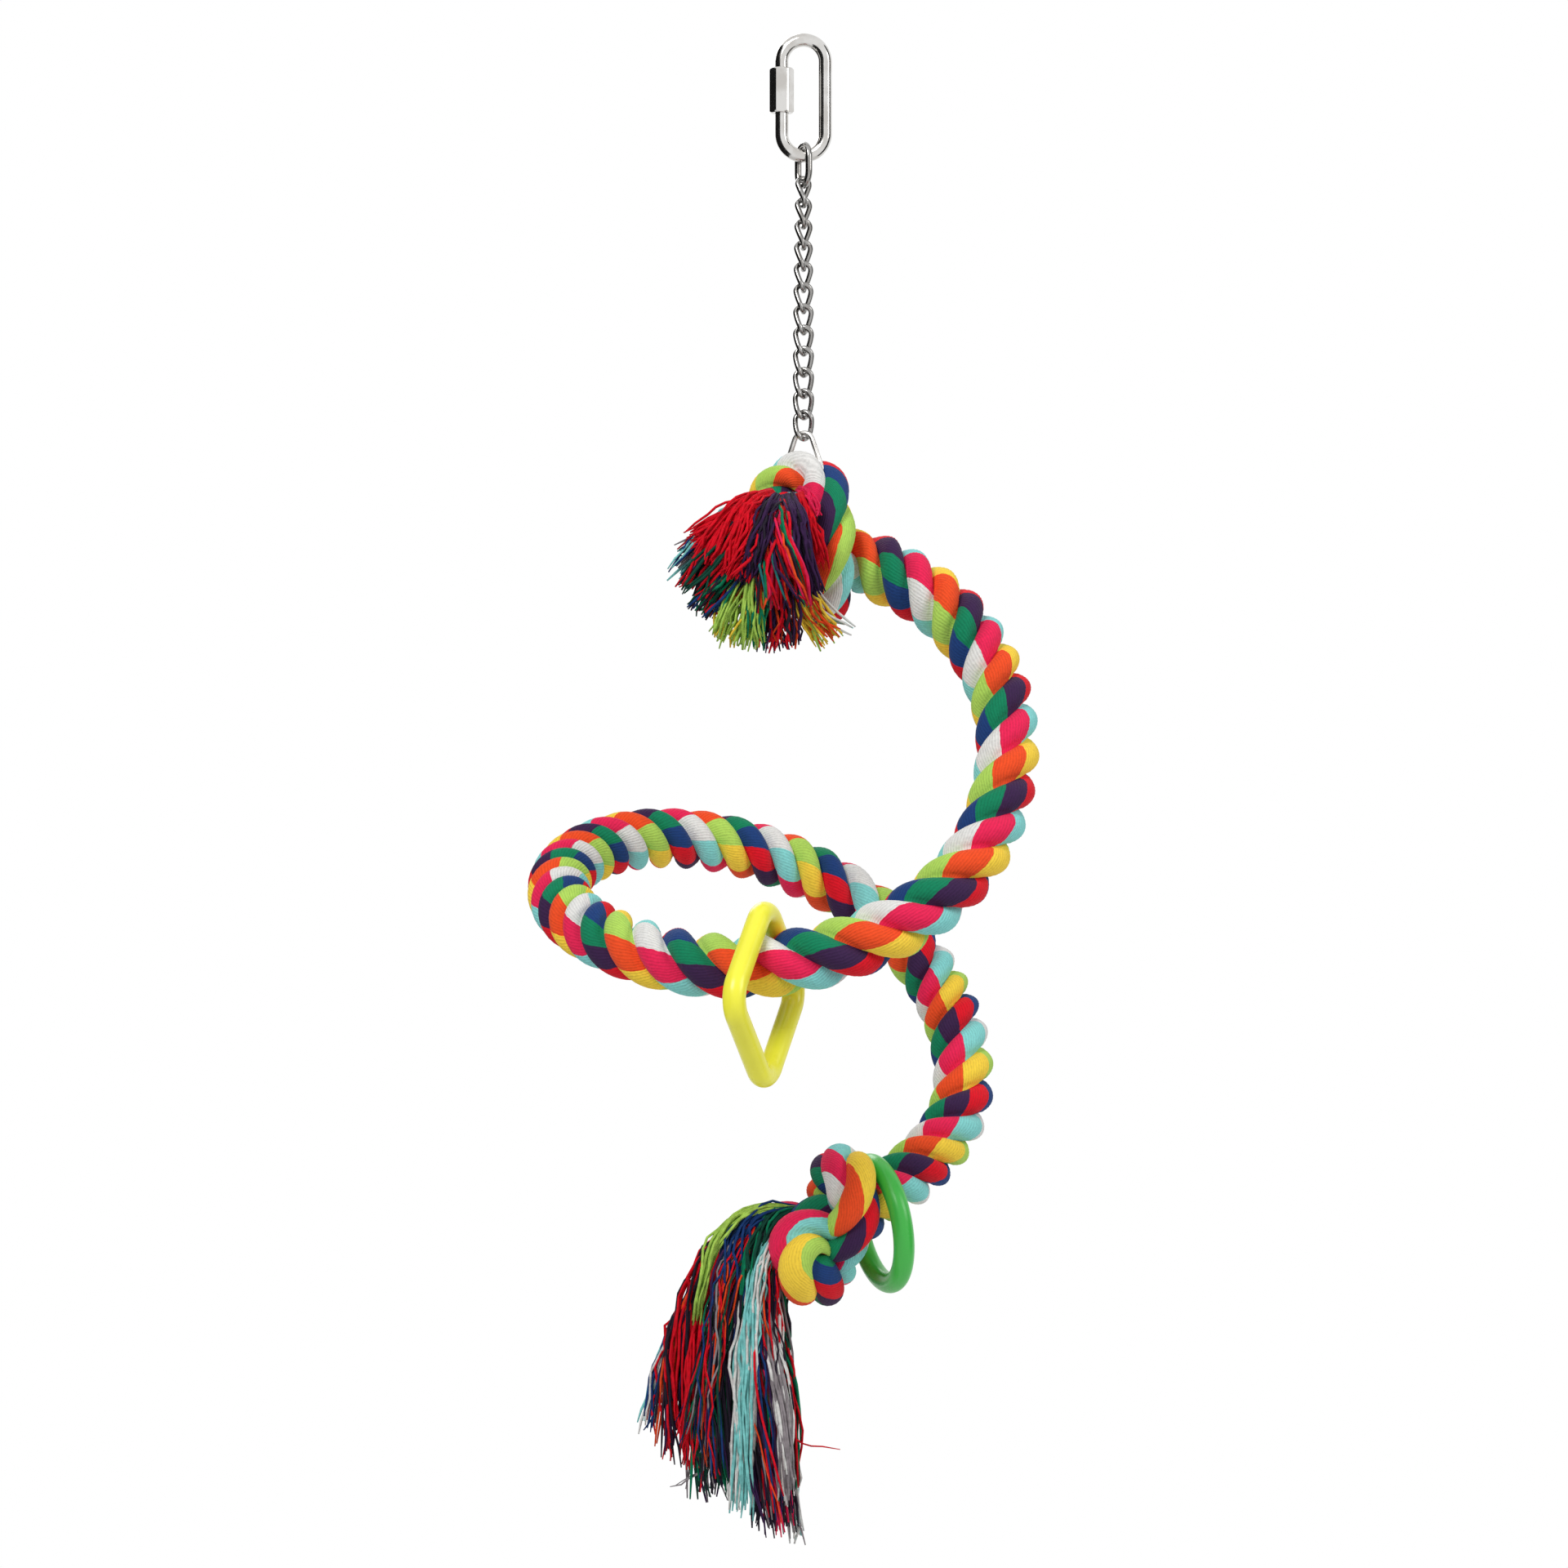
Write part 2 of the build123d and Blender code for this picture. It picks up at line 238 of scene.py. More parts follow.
# Pale round floor, well under the perch
FLOOR_RADIUS = 0.62
FLOOR_LEVEL = -0.74
FLOOR_SIDES = 96
floor_turns = np.linspace(0, 2 * math.pi, FLOOR_SIDES + 1)[:-1]
floor = mesh_object(
    "floor",
    [(FLOOR_RADIUS * math.cos(a), FLOOR_RADIUS * math.sin(a), FLOOR_LEVEL) for a in floor_turns],
    [list(range(FLOOR_SIDES))],
)
floor.data.materials.append(paint("floor_paint", 0.80, 0.86, 40, rough=0.8, shine=0.5))

# Dark studio boards at the left and right, that only polished surfaces mirror
BOARD_LOW = -0.7
BOARD_HIGH = 0.5


def board_corners(x, near, far):
    """The corners of an upright board that stands along the line of sight."""
    return [(x, near, BOARD_LOW), (x, far, BOARD_LOW), (x, far, BOARD_HIGH), (x, near, BOARD_HIGH)]


boards = mesh_object(
    "dark_boards",
    board_corners(-0.5, -1.0, 0.7) + board_corners(0.5, -0.22, 0.12),
    [(0, 1, 2, 3), (4, 7, 6, 5)],
    smooth=False,
)
boards.data.materials.append(paint("board_paint", 0.010, 0.030, 6, rough=1.0, shine=0.0))
boards.visible_camera = False
boards.visible_diffuse = False
boards.visible_shadow = False
boards.visible_transmission = False

# Rope route, in millimetres: the upper knot's loose end first, then the coil, then the lower knot
TOP_KNOT_AT = np.array((0.3, -6.0, -185.4))
TOP_KNOT_ROUTE = [
    (-9, -16, 8), (-2, 2, 7), (4, 20, 4), (6, 27, -11), (6, 18, -26), (9, 0, -25), (10, -11, -9),
    (10.3, -6, 7), (7.6, 5, 21), (-6, 7, 23), (-15.5, 6, 11), (-13, 7, -3), (-4, 9, -8.5), (6, 8.5, -8.5),
    (16, 8.5, -8.6), (24, 8.5, -9.8),
]
BOTTOM_KNOT_AT = np.array((9.602, 8.009, -447.32))
BOTTOM_KNOT_ROUTE = [
    (16, 3.5, 6), (8.8, 0.1, 3.5), (1, -4, 0.5), (-6, -10, -1.5), (-12.5, -15, -8), (-9.5, -13, -18.5),
    (-1.5, 3, -22), (0.5, 17, -12), (2.5, 20, 2), (2.8, 15, 15.5), (4.5, 1, 20.3), (10, -13, 17.5),
    (9, -16, 3), (4, -7, -9.5), (-3, 5, -8), (-10, 8, -1), (-21.5, 9, 2),
]
ABOVE_BOTTOM_KNOT = (51.0, 35.0, -424.0)

# The coil's control points stand a little outside it, so that the spline between them keeps the radius
COIL_STEP = 15
COIL_START = -55
COIL_POINTS = 29
COIL_CENTRE = np.array((-3.6, -43.0, -264.1))
COIL_RADIUS = 82.3 / math.cos(math.radians(COIL_STEP / 2))
COIL_RISE = 160.4
COIL_TILT = math.radians(36.9)
COIL_ROLL = math.radians(-6.8)
coil_x = np.array((math.cos(COIL_ROLL), 0, math.sin(COIL_ROLL)))
coil_z = np.array((
    -math.cos(COIL_TILT) * math.sin(COIL_ROLL),
    -math.sin(COIL_TILT),
    math.cos(COIL_TILT) * math.cos(COIL_ROLL),
))
coil_y = np.cross(coil_z, coil_x)


def coil_point(degrees):
    """A point of the true coil, which falls as it turns from right to front to left."""
    turn = math.radians(degrees)
    across = COIL_RADIUS * (math.cos(turn) * coil_x - math.sin(turn) * coil_y)
    return COIL_CENTRE + across - COIL_RISE * turn / (2 * math.pi) * coil_z


def coil_sag(degrees):
    """How far the rope lies from the true coil: its right side is drawn in, its front left is raised."""
    right_at, right_spread, drawn_in = 5, 32, 3.8
    left_at, left_spread, moved_right, raised = 135, 30, 0.8, 2.6
    right = math.exp(-((degrees - right_at) / right_spread) ** 2)
    left = math.exp(-((degrees - left_at) / left_spread) ** 2)
    return np.array((-drawn_in * right + moved_right * left, 0, raised * left))


route = [TOP_KNOT_AT + p for p in TOP_KNOT_ROUTE]
for step in range(COIL_POINTS):
    degrees = COIL_START + COIL_STEP * step
    route.append(coil_point(degrees) + coil_sag(degrees))
route.append(ABOVE_BOTTOM_KNOT)
route += [BOTTOM_KNOT_AT + p for p in BOTTOM_KNOT_ROUTE]


def spline_points(points):
    """Points read from a smooth spline whose control points are the route's, in metres."""
    line = bpy.data.curves.new("route", "CURVE")
    line.dimensions = "3D"
    line.resolution_u = 16
    spline = line.splines.new("NURBS")
    spline.points.add(len(points) - 1)
    for control, place in zip(spline.points, points):
        control.co = (*(np.asarray(place) * MM), 1)
    spline.order_u = 3
    spline.use_endpoint_u = True
    holder = bpy.data.objects.new("route", line)
    scene.collection.objects.link(holder)
    bpy.context.view_layer.update()
    read = bpy.data.meshes.new_from_object(holder)
    found = np.array([v.co for v in read.vertices])
    bpy.data.meshes.remove(read)
    bpy.data.objects.remove(holder)
    bpy.data.curves.remove(line)
    return found


def even(points, step):
    """The same line with its points evenly spaced, and the distance along it."""
    along = np.concatenate(([0], np.cumsum(np.linalg.norm(np.diff(points, axis=0), axis=1))))
    count = int(round(along[-1] / step))
    stations = np.linspace(0, along[-1], count + 1)
    return np.stack([np.interp(stations, along, points[:, k]) for k in range(3)], axis=1), stations


def frames(points):
    """The two directions across a line at each of its points, carried along without twist."""
    ways = np.gradient(points, axis=0)
    ways /= np.linalg.norm(ways, axis=1)[:, None]
    first = np.cross(ways[0], (0, 0, 1.0))
    sides = [first / np.linalg.norm(first)]
    for k in range(1, len(points)):
        side = sides[-1] - ways[k] * np.dot(sides[-1], ways[k])
        sides.append(side / np.linalg.norm(side))
    sides = np.array(sides)
    return sides, np.cross(ways, sides)


STATION_STEP = 1.1 * MM
rope_path, rope_along = even(spline_points(route), STATION_STEP)
rope_sides, rope_overs = frames(rope_path)
rope_length = rope_along[-1]
last_station = len(rope_path) - 1
station = np.arange(len(rope_path))
front_angle = np.unwrap(np.arctan2(rope_overs @ FRONT, rope_sides @ FRONT))


def nearest_station(px, py, low, high):
    """The station that the camera sees nearest to a pixel, between two shares of the rope's length."""
    places = rope_path / MM
    grow = PIXEL * (CAMERA_AWAY + places[:, 1]) / CAMERA_AWAY
    seen_x = PICTURE_MIDDLE + (places[:, 0] - CAMERA_X) / grow
    seen_y = PICTURE_MIDDLE - (places[:, 2] - CAMERA_Z) / grow
    away = (seen_x - px) ** 2 + (seen_y - py) ** 2
    away[: int(low * len(away))] = np.inf
    away[int(high * len(away)):] = np.inf
    return int(np.argmin(away))


# Pixels where the first strand's crest faces the front, from the top of the coil down. After each come
# the shares of the rope's length between which it lies, and the turn of its colours in degrees.
COIL_CRESTS = [
    (1098, 706, 0.10, 0.40, 117), (1185, 778, 0.10, 0.40, 112), (1228, 873, 0.10, 0.50, 93),
    (1216, 990, 0.10, 0.50, 88), (1150, 1098, 0.20, 0.50, 78), (1015, 1163, 0.20, 0.55, 78),
    (862, 1172, 0.20, 0.60, 87), (742, 1150, 0.20, 0.60, 112), (728, 1038, 0.45, 0.75, 128),
    (818, 1025, 0.45, 0.80, 160), (925, 1040, 0.45, 0.85, 192), (1024, 1082, 0.50, 0.85, 198),
    (1128, 1185, 0.60, 0.90, 238), (1168, 1260, 0.60, 0.90, 231), (1167, 1360, 0.60, 0.95, 231),
    (1118, 1437, 0.60, 0.95, 230),
]
# The same in the knots, in order away from the coil, with the strand that is at the front, 0, 1 or 2
HANGER_CREST = (997, 592, 0.103, 0.130, 2, 118)
TOP_CRESTS = [
    (1062, 695, 0.150, 0.220, 1, 122), (930, 603, 0.120, 0.155, 0, 122), (963, 581, 0.112, 0.145, 1, 76),
    HANGER_CREST, (1020, 637, 0.085, 0.113, 0, 66), (1022, 690, 0.070, 0.100, 1, 122),
    (1024, 732, 0.055, 0.088, 2, 140),
]
BOTTOM_CRESTS = [
    (988, 1494, 0.82, 0.86, 2, 50), (982, 1529, 0.83, 0.87, 1, -19), (998, 1565, 0.84, 0.885, 0, 25),
    (1036, 1438, 0.905, 0.95, 2, 90), (1046, 1480, 0.91, 0.955, 1, 90), (1046, 1524, 0.93, 0.97, 0, 86),
]
COIL_PITCH = 36 * MM
KNOT_PITCH = 40 * MM
STRAND_TURN = 2 * math.pi / 3
COLOUR_REPEAT = 180


def crest(place, strand, colour, near=None, in_knot=False):
    """The station where a strand's crest faces the front, with the turns of the lay and the colours there."""
    k = nearest_station(*place)
    turn = front_angle[k] - strand * STRAND_TURN
    shift = colour - math.degrees(front_angle[k])
    if near:
        near_k, near_turn, near_shift = near
        pitch = KNOT_PITCH if in_knot else COIL_PITCH
        laid = near_turn + 2 * math.pi * (rope_along[k] - rope_along[near_k]) / pitch
        turn += 2 * math.pi * round((laid - turn) / (2 * math.pi))
        if in_knot:
            shift += COLOUR_REPEAT * round((near_shift - shift) / COLOUR_REPEAT)
    return k, turn, shift


crests = []
for *place, colour in COIL_CRESTS:
    crests.append(crest(place, 0, colour, crests[-1] if crests else None))
for *place, strand, colour in BOTTOM_CRESTS:
    crests.append(crest(place, strand, colour, crests[-1], in_knot=True))
for *place, strand, colour in TOP_CRESTS:
    crests.insert(0, crest(place, strand, colour, crests[0], in_knot=True))
crest_at, crest_turn, colour_at = zip(*crests)


def running_mean(values, half):
    """A mean over half as many values before and after each, with the ends' slopes carried on."""
    before = values[0] + (values[1] - values[0]) * np.arange(-half, 0)
    after = values[-1] + (values[-1] - values[-2]) * np.arange(1, half + 1)
    padded = np.concatenate((before, values, after))
    return np.convolve(padded, np.ones(2 * half + 1) / (2 * half + 1), "valid")


# Turn of the strands and of their colours at each station, with a steady lay beyond the outermost crests
SMOOTHING = 6
lay_step = 2 * math.pi * rope_along[1] / KNOT_PITCH
first_crest, last_crest = crest_at[0], crest_at[-1]
strand_turn = np.interp(station, crest_at, crest_turn)
strand_turn[:first_crest] = crest_turn[0] + lay_step * (station[:first_crest] - first_crest)
strand_turn[last_crest:] = crest_turn[-1] + lay_step * (station[last_crest:] - last_crest)
strand_turn = running_mean(strand_turn, SMOOTHING)
colour_turn = running_mean(np.interp(station, crest_at, colour_at), SMOOTHING)

# The rope is drawn tighter in its upper knot, and thins out where its ends fray. The upper knot's mouth is
# a pixel with shares of the rope's length, the lower knot's length is in metres, and the tightness is pairs
# of a station and a share of the full thickness.
TOP_MOUTH = (1062, 700, 0.05, 0.3)
BOTTOM_KNOT_LENGTH = 0.175
mouth_top = nearest_station(*TOP_MOUTH)
mouth_bottom = last_station - int(BOTTOM_KNOT_LENGTH / rope_length * len(rope_path))
TIGHTNESS = [
    (0, 0.6), (18, 0.76), (mouth_top - 26, 0.78), (mouth_top + 4, 1.1), (mouth_top + 80, 1.0),
    (mouth_bottom + 22, 1.02), (mouth_bottom + 60, 0.95), (last_station - 25, 0.85), (last_station, 0.55),
]
tight = np.interp(station, *zip(*TIGHTNESS))

# The hanger ring lifts one strand, which shows mostly its white band there
LIFTED_STRAND = 2
LIFT = 1.0 * MM
LIFT_SPREAD = 10
WHITE_MIDDLE = 0.79
WHITE_SHARE = 0.7
lifted = np.exp(-((station - nearest_station(*HANGER_CREST[:4])) / LIFT_SPREAD) ** 2)

# Rope: three strands round the path, each a lobe of the section that rises and falls like half a cosine
LOBE = 12
LOBE_WAVE = 1.5
RING = 3 * LOBE
CROWN = 11.9 * MM
GROOVE = 6.8 * MM
ROUNDNESS = 0.62
CHART_PER_METRE = 20
CUT_END_BAND = 0.1


def lobe_angle(spot):
    """The angle from the middle of a strand's lobe to one of its spots."""
    return (spot / LOBE - 0.5) * STRAND_TURN


def rope_point(k, strand, spot):
    """A point of the rope's surface."""
    inner = lobe_angle(spot)
    turn = strand_turn[k] + strand * STRAND_TURN + inner
    bulge = max(0.0, math.cos(LOBE_WAVE * inner)) ** ROUNDNESS
    reach = tight[k] * (GROOVE + (CROWN - GROOVE) * bulge)
    if strand == LIFTED_STRAND:
        reach += LIFT * lifted[k] * bulge
    return rope_path[k] + reach * (math.cos(turn) * rope_sides[k] + math.sin(turn) * rope_overs[k])


def rope_chart(k, strand, spot):
    """Where a point of the rope lies among its strand's bands of colour, and along the rope."""
    turn = strand_turn[k] + strand * STRAND_TURN + lobe_angle(spot)
    band = (math.degrees(turn) + colour_turn[k]) / COLOUR_REPEAT
    if strand == LIFTED_STRAND:
        band -= WHITE_SHARE * lifted[k] * ((band - WHITE_MIDDLE + 0.5) % 1 - 0.5)
    return band, rope_along[k] * CHART_PER_METRE


verts = []
faces = []
slots = []
chart = []
for k in range(len(rope_path)):
    for strand in range(3):
        verts += [rope_point(k, strand, j) for j in range(LOBE)]
for k in range(last_station):
    for strand in range(3):
        for j in range(LOBE):
            spot = strand * LOBE + j
            after = (spot + 1) % RING
            faces.append((k * RING + spot, k * RING + after, (k + 1) * RING + after, (k + 1) * RING + spot))
            slots.append(strand)
            for step, over in ((0, 0), (0, 1), (1, 1), (1, 0)):
                chart.append(rope_chart(k + step, strand, j + over))
faces.append(tuple(reversed(range(RING))))
faces.append(tuple(range(last_station * RING, (last_station + 1) * RING)))
slots += [0, 0]
chart += [(CUT_END_BAND, 0)] * (2 * RING)
rope = mesh_object("rope", verts, faces)
rope.data.polygons.foreach_set("material_index", slots)
uv = rope.data.uv_layers.new(name="strand")
uv.data.foreach_set("uv", np.array(chart).ravel())

# Bands of colour on each strand: where each begins, from 0 to 1 round half the rope
STRANDS = [
    ("rope_strand_a", [(0.0, "blue"), (0.011, "red"), (0.261, "purple"), (0.511, "green"), (0.761, "blue")]),
    ("rope_strand_c", [(0.0, "lime"), (0.011, "yellow"), (0.344, "orange"), (0.678, "lime")]),
    ("rope_strand_b", [(0.0, "sky"), (0.289, "pink"), (0.622, "white"), (0.956, "sky")]),
]
# How far the bands' edges waver, and the fine yarns' closeness, kinks and height; the height also sets how
# deep the painted shade between the yarns is
BAND_WAVER = 0.035
YARN_CLOSENESS = 200.0
YARN_KINK = 9.0
YARN_HEIGHT = 0.22


def cotton(name, bands):
    """Dyed cotton: bands of colour with wavering edges, fine yarns along the strand with painted shade
    between them and painted light on their crests, and fuzz.
    """
    made, nodes, shader = material(name)
    strand_chart = nodes.new("ShaderNodeUVMap")
    strand_chart.uv_map = "strand"
    split = nodes.new("ShaderNodeSeparateXYZ")
    link(strand_chart.outputs[0], split.inputs[0])
    across = split.outputs[0]
    wavered = maths(nodes, "MULTIPLY_ADD", noise(nodes, 260), BAND_WAVER, across)
    ramp = nodes.new("ShaderNodeValToRGB")
    ramp.color_ramp.interpolation = "CONSTANT"
    stops = ramp.color_ramp.elements
    while len(stops) < len(bands):
        stops.new(0.5)
    for stop, (place, colour) in zip(stops, bands):
        stop.position = place
        stop.color = linear(colour)
    link(maths(nodes, "FRACT", wavered), ramp.inputs[0])
    kinked = maths(nodes, "MULTIPLY", noise(nodes, 160), YARN_KINK)
    yarns = maths(nodes, "SINE", maths(nodes, "MULTIPLY_ADD", across, YARN_CLOSENESS, kinked))
    height = maths(nodes, "MULTIPLY_ADD", yarns, YARN_HEIGHT, noise(nodes, 900, 3))
    # Painted shade and light: the colour is darkened in the troughs between the fine yarns and lightened on
    # their crests, by the relief height, which also carries a random tone
    yarn_shade_and_tone = nodes.new("ShaderNodeVectorMath")
    yarn_shade_and_tone.operation = "SCALE"
    link(ramp.outputs[0], yarn_shade_and_tone.inputs[0])
    link(mapped(nodes, height, 0.73, 1.20, start=-0.1, end=1.1), yarn_shade_and_tone.inputs["Scale"])
    link(yarn_shade_and_tone.outputs[0], shader.inputs["Base Color"])
    shader.inputs["Roughness"].default_value = 0.82
    shader.inputs["Specular IOR Level"].default_value = 0.25
    shader.inputs["Sheen Weight"].default_value = 0.05
    link(relief(nodes, height, strength=0.5, depth=0.5 * MM), shader.inputs["Normal"])
    return made


for name, bands in STRANDS:
    rope.data.materials.append(cotton(name, bands))

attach(rope, "perch")
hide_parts("rope_spiral", "top_knot", "bottom_knot")

# Tassels: yarns in locks, each lock along a given line from the knot to its tips
YARN_STEP = 5.6 * MM
YARN_SIDES = 5
LOOSE_TWIST = (0.8, 2.2)
SHORTEST_YARN = 0.5
CRIMP_HEIGHT = 0.6 * MM
CRIMP_LENGTH = (15 * MM, 26 * MM)
TIP_TAPER = (0.92, 0.5)


def curve_through(points, steps):
    """Places along a smooth line through the points."""
    padded = np.vstack((2 * points[0] - points[1], points, 2 * points[-1] - points[-2]))
    found = []
    for step in steps:
        k = min(int(step), len(points) - 2)
        t = step - k
        p0, p1, p2, p3 = padded[k: k + 4]
        found.append(0.5 * (
            2 * p1 + (p2 - p0) * t + (2 * p0 - 5 * p1 + 4 * p2 - p3) * t**2
            + (3 * p1 - p0 - 3 * p2 + p3) * t**3
        ))
    return np.array(found)


def jitter():
    """A random shift each way."""
    return np.array([rng.gauss(0, 1) for _ in range(3)])


def lock(colours, count, line, flat=0.6, ragged=0.06, stray=1.1, thick=(0.44, 0.66), turns=None):
    """Yarns laid about each other: their lines, colours and radii.

    line gives pixels of the picture with depth and half width in mm. stray and thick are in mm too.
    """
    centre = np.array([at(px, py, depth) for px, py, depth, _ in line])
    half = np.array([width for *_, width in line]) * MM
    last = len(line) - 1
    run = np.linalg.norm(np.diff(centre, axis=0), axis=1).sum()
    spots = int(run / YARN_STEP) + 2
    share = np.linspace(0, 1, spots)
    twist = rng.uniform(*turns) if turns else rng.choice((-1, 1)) * rng.uniform(*LOOSE_TWIST)
    yarns = []
    for _ in range(count):
        angle = rng.uniform(0, 2 * math.pi)
        out = math.sqrt(rng.random())
        points = []
        for k in range(len(line)):
            way = centre[min(k + 1, last)] - centre[max(k - 1, 0)]
            across = np.cross(way / np.linalg.norm(way), FRONT)
            across = across / (np.linalg.norm(across) + 1e-9)
            turned = angle + twist * k / last
            place = out * (math.cos(turned) * across + math.sin(turned) * flat * FRONT)
            wander = jitter() * stray * MM * min(1, k)
            points.append(centre[k] + half[k] * place + wander)
        reach = max(SHORTEST_YARN, 1 - abs(rng.gauss(0, ragged)))
        own = curve_through(np.array(points), last * reach * share)
        crimp = jitter() * CRIMP_HEIGHT
        wave = np.sin(reach * run / rng.uniform(*CRIMP_LENGTH) * 2 * math.pi * share + angle)
        # The crimp grows over the first third of the yarn
        own += (np.minimum(1, 3 * share) * wave)[:, None] * crimp
        yarns.append((own, rng.choice(colours), rng.uniform(*thick) * MM))
    return yarns


yarn_materials = {}


def yarn_material(colour):
    """Spun cotton yarn of one colour, uneven in tone, with a little fuzz."""
    if colour in yarn_materials:
        return yarn_materials[colour]
    made, nodes, shader = material("yarn_" + colour)
    base = linear(colour)
    dark = (*(c * 0.62 for c in base[:3]), 1)
    link(two_tones(nodes, noise(nodes, 420, 4), dark, base, 0.30, 0.66), shader.inputs["Base Color"])
    shader.inputs["Roughness"].default_value = 0.85
    shader.inputs["Specular IOR Level"].default_value = 0.2
    link(relief(nodes, noise(nodes, 1600), strength=0.4, depth=0.3 * MM), shader.inputs["Normal"])
    yarn_materials[colour] = made
    return made


def tassel(name, node, yarns):
    """One mesh of all the yarns of a tassel, coloured yarn by yarn."""
    colours = sorted({colour for _, colour, _ in yarns})
    verts, faces, slots = [], [], []
    turns = (np.arange(YARN_SIDES) * 2 * math.pi / YARN_SIDES)[None, :, None]
    for line, colour, radius in yarns:
        side, over = frames(line)
        start = len(verts)
        fat = np.full(len(line), radius)
        fat[-2:] *= TIP_TAPER
        rim = np.cos(turns) * side[:, None] + np.sin(turns) * over[:, None]
        verts.extend((line[:, None] + fat[:, None, None] * rim).reshape(-1, 3))
        for k in range(len(line) - 1):
            for j in range(YARN_SIDES):
                a = start + k * YARN_SIDES + j
                b = start + k * YARN_SIDES + (j + 1) % YARN_SIDES
                faces.append((a, b, b + YARN_SIDES, a + YARN_SIDES))
        tip = start + (len(line) - 1) * YARN_SIDES
        faces.append(tuple(tip + j for j in range(YARN_SIDES)))
        faces.append(tuple(start + j for j in reversed(range(YARN_SIDES))))
        slots += [colours.index(colour)] * ((len(line) - 1) * YARN_SIDES + 2)
    obj = mesh_object(name, verts, faces)
    obj.data.polygons.foreach_set("material_index", slots)
    for colour in colours:
        obj.data.materials.append(yarn_material(colour))
    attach(obj, "perch")
    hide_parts(node)


# Upper tassel, a short mop in front of the knot
TOP_LOCKS = [
    (["red"], 62, [(950, 608, -24, 3), (918, 622, -40, 4.5), (884, 645, -46, 6.5), (850, 668, -46, 6.5)]),
    (["red"], 76, [(950, 606, -25, 3), (920, 624, -46, 6), (895, 658, -54, 8), (866, 696, -54, 8)]),
    (["red"], 62, [(948, 606, -25, 3), (928, 626, -50, 5), (914, 668, -58, 5.5), (904, 712, -58, 5.5)]),
    (["purple", "purple", "black"], 36,
     [(955, 607, -26, 3), (940, 628, -52, 2.6), (928, 670, -61, 2.6), (914, 716, -58, 3.2)]),
    (["purple", "purple", "black"], 60,
     [(962, 606, -26, 3), (972, 636, -50, 3.6), (982, 676, -55, 3.8), (998, 730, -50, 4.2)]),
    (["red", "red", "pink", "orange", "teal", "black", "purple", "green"], 64,
     [(952, 610, -28, 3), (952, 640, -52, 4), (954, 690, -60, 7), (960, 748, -56, 12)]),
    (["pink"], 16, [(977, 598, -12, 1.2), (987, 606, -22, 1.6), (994, 618, -28, 1.6), (998, 634, -30, 1.2)]),
    (["red"], 34, [(978, 604, -24, 1.6), (987, 630, -31, 2.1), (995, 658, -34, 2.1), (1005, 694, -36, 1.9)]),
    (["lime", "lime", "lime", "green"], 46,
     [(945, 612, -26, 2), (935, 670, -50, 4), (925, 728, -56, 5), (918, 794, -50, 6)]),
    (["lime", "lime", "yellow"], 38,
     [(944, 614, -24, 2), (920, 680, -44, 4), (898, 742, -52, 5), (884, 792, -48, 6)]),
    (["yellow", "orange", "yellow", "lime"], 40,
     [(956, 614, -26, 2.5), (968, 690, -42, 4), (990, 742, -46, 5), (1020, 786, -42, 6)]),
    (["yellow", "white", "sky"], 8,
     [(960, 640, -30, 2), (984, 710, -38, 4), (1004, 748, -42, 4), (1040, 772, -40, 4)]),
    (["black", "purple", "red", "orange"], 46,
     [(952, 612, -24, 3), (950, 680, -44, 6), (954, 745, -50, 8), (958, 798, -46, 9)]),
    (["forest", "green", "black", "blue", "red"], 48,
     [(946, 610, -24, 3), (918, 662, -46, 6), (890, 710, -52, 7), (860, 754, -48, 7)]),
    (["red", "black", "forest", "purple"], 54,
     [(946, 610, -24, 3), (915, 642, -48, 6), (880, 690, -54, 8), (846, 736, -50, 8)]),
    (["sky", "sky", "grey", "blue"], 22,
     [(944, 608, -22, 3), (905, 630, -38, 5), (864, 668, -42, 5), (828, 712, -42, 5)]),
    (["black", "grey", "teal", "purple", "red"], 42,
     [(944, 612, -22, 3), (908, 634, -36, 4.5), (868, 664, -38, 5), (832, 690, -38, 5.5)]),
    (["red", "black", "forest", "purple"], 60,
     [(950, 610, -20, 4), (935, 652, -30, 12), (915, 706, -32, 17), (902, 770, -30, 18)]),
    (["red", "orange", "purple", "black"], 40,
     [(952, 612, -22, 3), (957, 660, -30, 6), (970, 715, -32, 9), (985, 770, -30, 11)]),
]
top_yarns = []
for colours, count, line in TOP_LOCKS:
    top_yarns += lock(colours, count, line)
tassel("top_yarns", "top_tassel", top_yarns)

